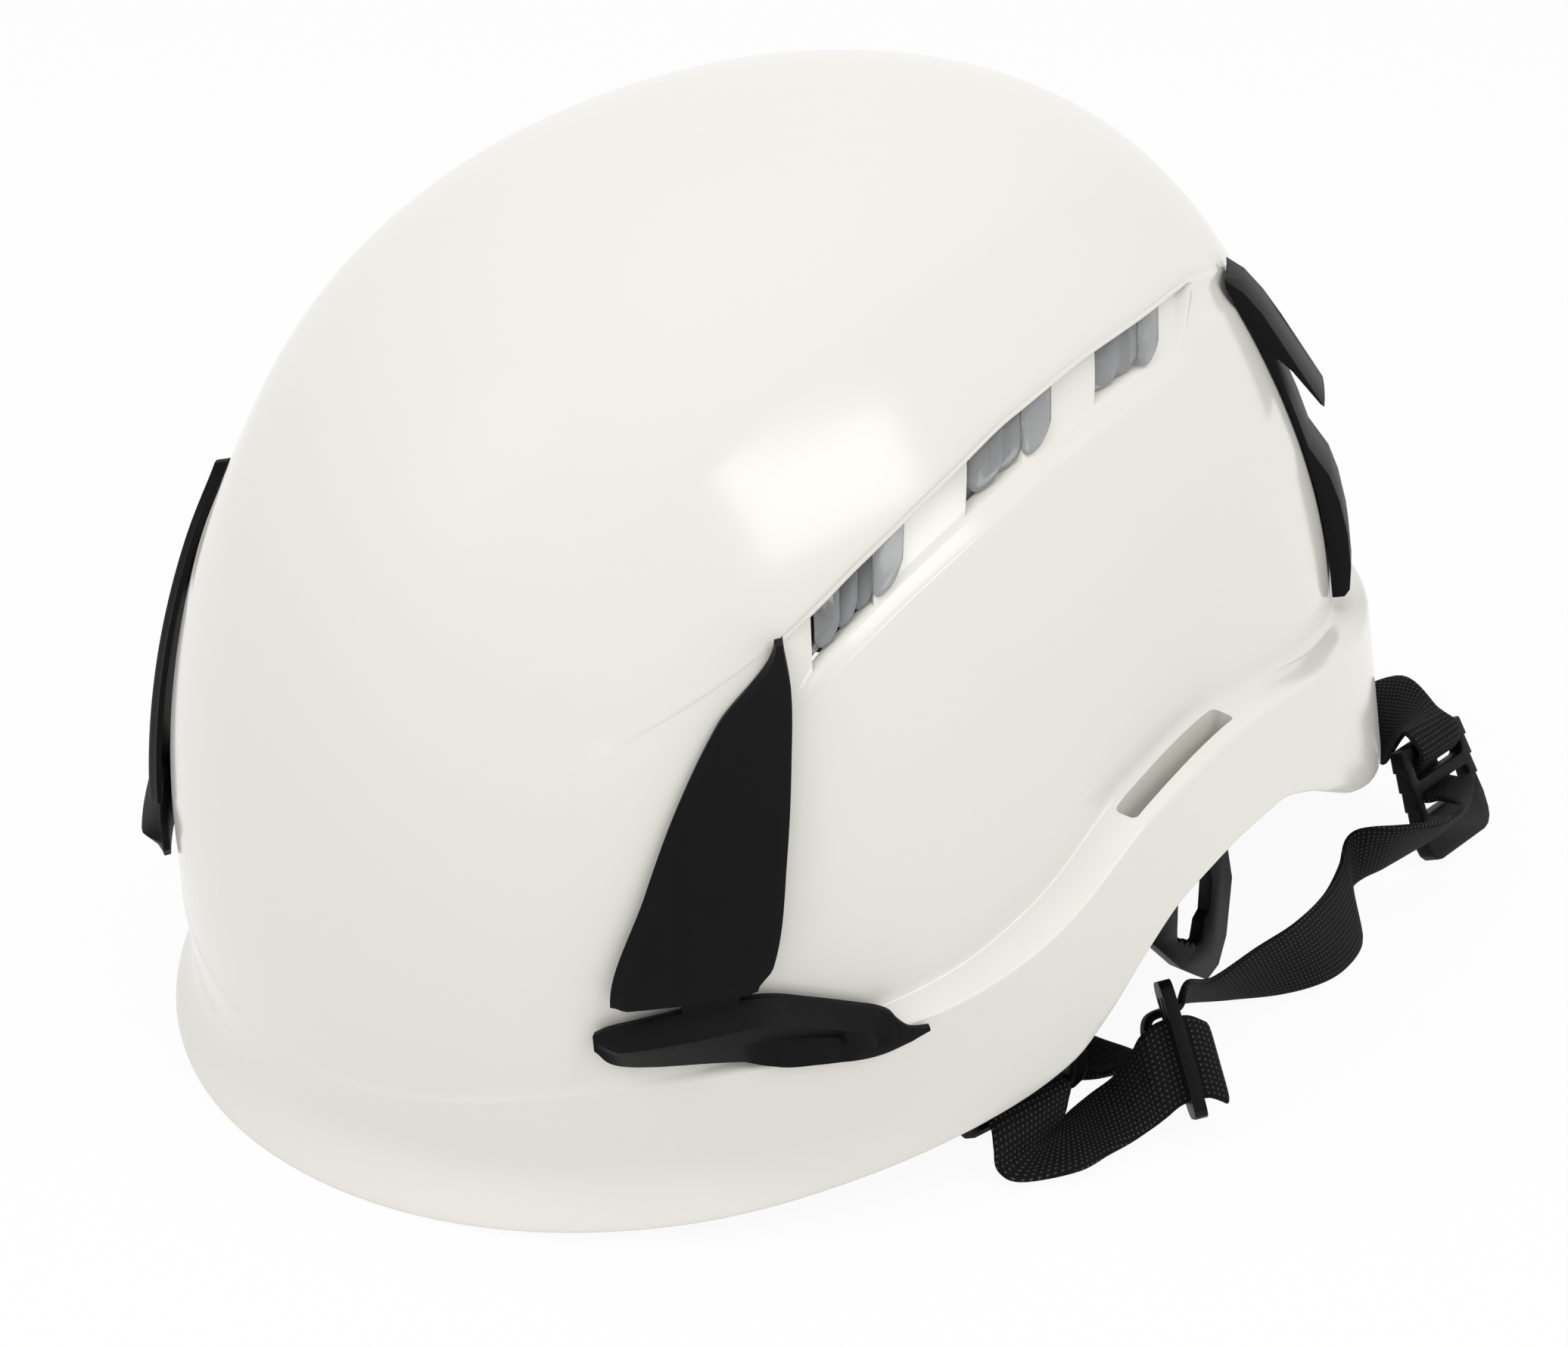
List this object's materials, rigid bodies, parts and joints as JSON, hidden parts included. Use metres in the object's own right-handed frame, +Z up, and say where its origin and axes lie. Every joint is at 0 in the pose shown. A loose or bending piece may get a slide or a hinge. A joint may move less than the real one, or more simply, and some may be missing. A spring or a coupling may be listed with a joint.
{
  "type": "climbing helmet",
  "caption": "Hard-shell climbing helmet with side vents, lamp clips, webbing cradle, ratchet headband with adjustable nape and a yoked chin strap.",
  "frame": {"origin": "on the surface that the helmet stands on, under the middle of its box", "axes": "+Z up, -Y towards the helmet's front, +X towards the wearer's left; the helmet stands nose-down on its brim and its nape unit"},
  "size_m": [0.2452, 0.2864, 0.1745],
  "materials": {
    "shell_white": "glossy moulded ABS, warm off-white",
    "clear_louvre": "clear polycarbonate with a grey tint",
    "black_moulding": "fine-grained black nylon",
    "black_webbing": "woven black polyester webbing",
    "dark_foam": "fabric-faced foam",
    "screw_steel": "plain steel screw"
  },
  "bodies": {
    "helmet": {"shell": "shell_white", "vent_louvre_left": "clear_louvre", "vent_louvre_right": "clear_louvre", "front_lamp_clip_left": "black_moulding", "front_lamp_clip_right": "black_moulding", "rear_lamp_clip_left": "black_moulding", "rear_lamp_clip_right": "black_moulding", "headband": "black_moulding", "sweatband": "dark_foam", "front_anchor_left": "black_moulding", "front_anchor_right": "black_moulding", "rear_anchor_left": "black_moulding", "rear_anchor_right": "black_moulding", "cradle_strap_under": "black_webbing", "cradle_strap_over": "black_webbing", "crown_pad": "dark_foam", "height_plate_left": "black_moulding", "height_plate_right": "black_moulding", "chin_strap_left": "black_webbing", "chin_strap_right": "black_webbing", "rear_strap_left": "black_webbing", "rear_strap_right": "black_webbing", "rear_webbing_left": "black_webbing", "rear_webbing_right": "black_webbing", "tri_glide_left": "black_moulding", "tri_glide_right": "black_moulding", "ladder_lock_left": "black_moulding", "ladder_lock_right": "black_moulding", "chin_buckle_socket": "black_moulding"},
    "nape": {"ratchet_housing": "black_moulding", "ratchet_cover": "black_moulding", "cover_screw_1": "screw_steel", "cover_screw_2": "screw_steel", "cover_screw_3": "screw_steel", "cover_screw_4": "screw_steel", "nape_pad": "dark_foam", "height_stud_left": "black_moulding", "height_stud_right": "black_moulding"},
    "arm_left": {"nape_arm_left": "black_moulding"},
    "arm_right": {"nape_arm_right": "black_moulding"},
    "knob": {"ratchet_knob": "black_moulding", "ratchet_pinion": "black_moulding"},
    "tongue": {"chin_buckle_tongue": "black_moulding"}
  },
  "joints": [
    {"name": "nape_height", "type": "slide", "parent": "helmet", "child": "nape", "axis": [0, -0.1233, 0.9924], "range_m": [-0.01, 0]},
    {"name": "knob_turn", "type": "hinge", "parent": "nape", "child": "knob", "pos_m": [0, 0.0978, 0.01728], "axis": [0, -0.9963, 0.0857], "range_deg": [0, 137.5]},
    {"name": "arm_left_draw", "type": "hinge", "parent": "nape", "child": "arm_left", "pos_m": [0, 0.0155, 0.02436], "axis": [0, 0.0857, 0.9963], "range_deg": [0, 8.33]},
    {"name": "arm_right_draw", "type": "hinge", "parent": "nape", "child": "arm_right", "pos_m": [0, 0.0155, 0.02436], "axis": [0, 0.0857, 0.9963], "range_deg": [-8.33, 0]},
    {"name": "buckle_release", "type": "slide", "parent": "helmet", "child": "tongue", "axis": [-1, 0, 0], "range_m": [0, 0.014]}
  ],
  "couplings": [
    {"joint": "arm_left_draw", "follows": "knob_turn", "ratio": 0.060533},
    {"joint": "arm_right_draw", "follows": "knob_turn", "ratio": -0.060533}
  ]
}
